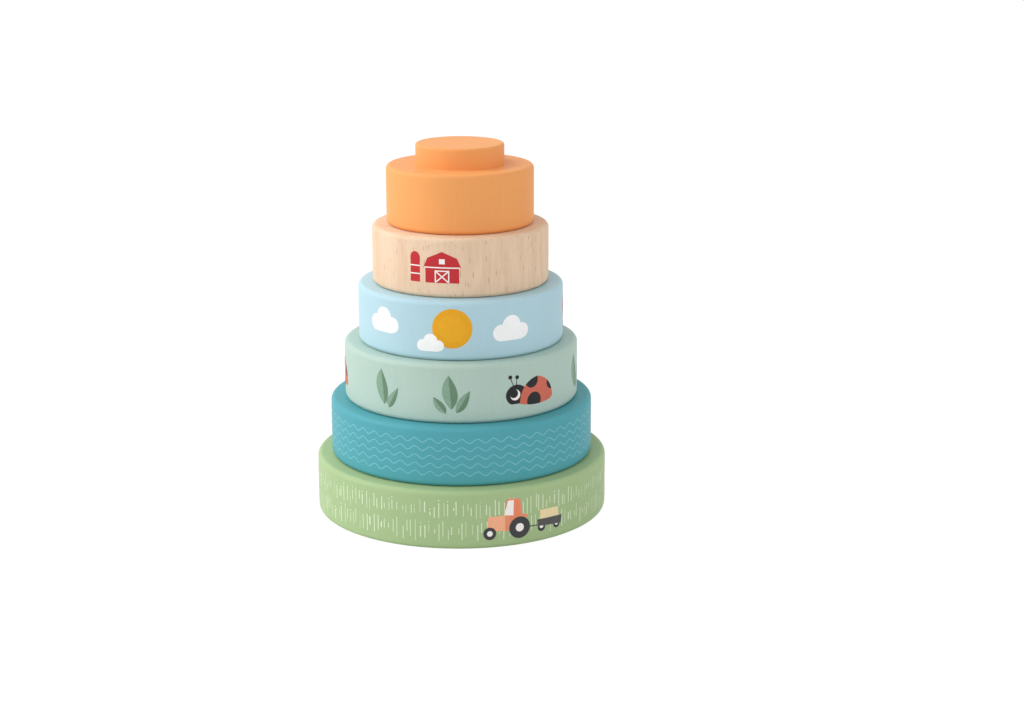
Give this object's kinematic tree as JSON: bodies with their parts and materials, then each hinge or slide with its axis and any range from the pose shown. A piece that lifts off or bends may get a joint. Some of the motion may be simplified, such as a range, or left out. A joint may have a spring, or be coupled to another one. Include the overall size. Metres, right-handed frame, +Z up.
{
  "type": "stacking ring toy",
  "caption": "Wooden stacking toy: painted and plain rings of falling diameter drop over a post on a round base, under a top ring with a knob.",
  "frame": {"origin": "centre of the base disc on its underside, where the toy rests", "axes": "+Z up along the post and through every ring; the printed pictures of the front face -Y"},
  "size_m": [0.125, 0.125, 0.1588],
  "materials": {
    "green_paint": "satin",
    "teal_paint": "satin",
    "mint_paint": "satin",
    "blue_paint": "satin",
    "orange_paint": "satin",
    "bare_beech": "satin",
    "zinc_steel": "satin"
  },
  "bodies": {
    "base": {"base_disc": "green_paint", "post": "bare_beech", "post_screw": "zinc_steel", "screw_washer": "zinc_steel"},
    "teal": {"teal_ring": "teal_paint"},
    "mint": {"mint_ring": "mint_paint"},
    "blue": {"blue_ring": "blue_paint"},
    "natural": {"natural_ring": "bare_beech"},
    "top": {"top_ring": "orange_paint", "top_knob": "orange_paint"}
  },
  "joints": [
    {"name": "teal_lift", "type": "slide", "parent": "base", "child": "teal", "axis": [0, 0, 1], "range_m": [0, 0.12]},
    {"name": "mint_lift", "type": "slide", "parent": "teal", "child": "mint", "axis": [0, 0, 1], "range_m": [0, 0.095]},
    {"name": "blue_lift", "type": "slide", "parent": "mint", "child": "blue", "axis": [0, 0, 1], "range_m": [0, 0.07]},
    {"name": "natural_lift", "type": "slide", "parent": "blue", "child": "natural", "axis": [0, 0, 1], "range_m": [0, 0.045]},
    {"name": "top_lift", "type": "slide", "parent": "natural", "child": "top", "axis": [0, 0, 1], "range_m": [0, 0.02]}
  ]
}
